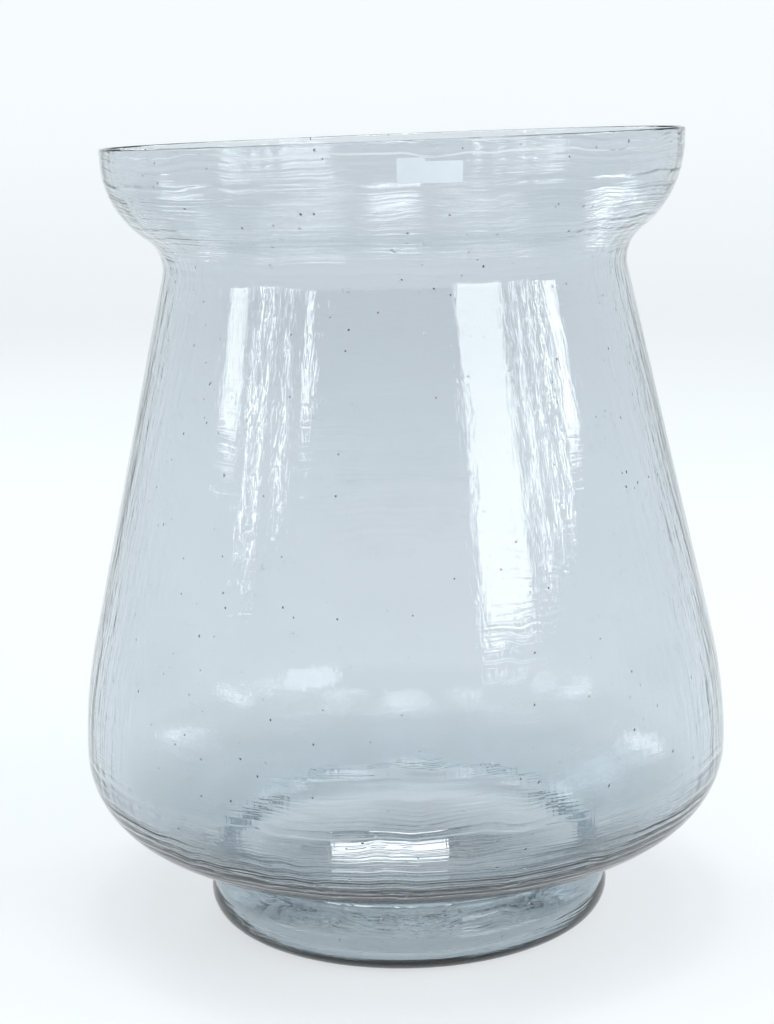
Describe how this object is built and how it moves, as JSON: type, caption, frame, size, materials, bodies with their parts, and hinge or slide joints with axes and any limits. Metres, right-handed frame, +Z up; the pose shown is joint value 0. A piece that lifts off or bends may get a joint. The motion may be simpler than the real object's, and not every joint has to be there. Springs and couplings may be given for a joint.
{
  "type": "glass vessel",
  "caption": "Open-topped clear blown-glass vessel with a cup-shaped collar, narrow neck, bell body, pinched waist and hollow foot.",
  "frame": {"origin": "middle of the foot's underside, on the plane that the foot's ring rests on", "axes": "+Z up along the axis that the glass is turned about, from the foot to the mouth; -Y is the front, where the rim label is"},
  "size_m": [0.401, 0.4008, 0.482],
  "materials": {
    "vessel_glass": "polished",
    "foot_glass": "polished",
    "film_label": "satin",
    "paper_label": "matte"
  },
  "bodies": {
    "root": {"bell_body": "vessel_glass", "foot": "foot_glass", "rim_label": "film_label", "price_label": "film_label", "floor_label": "paper_label"}
  },
  "joints": []
}
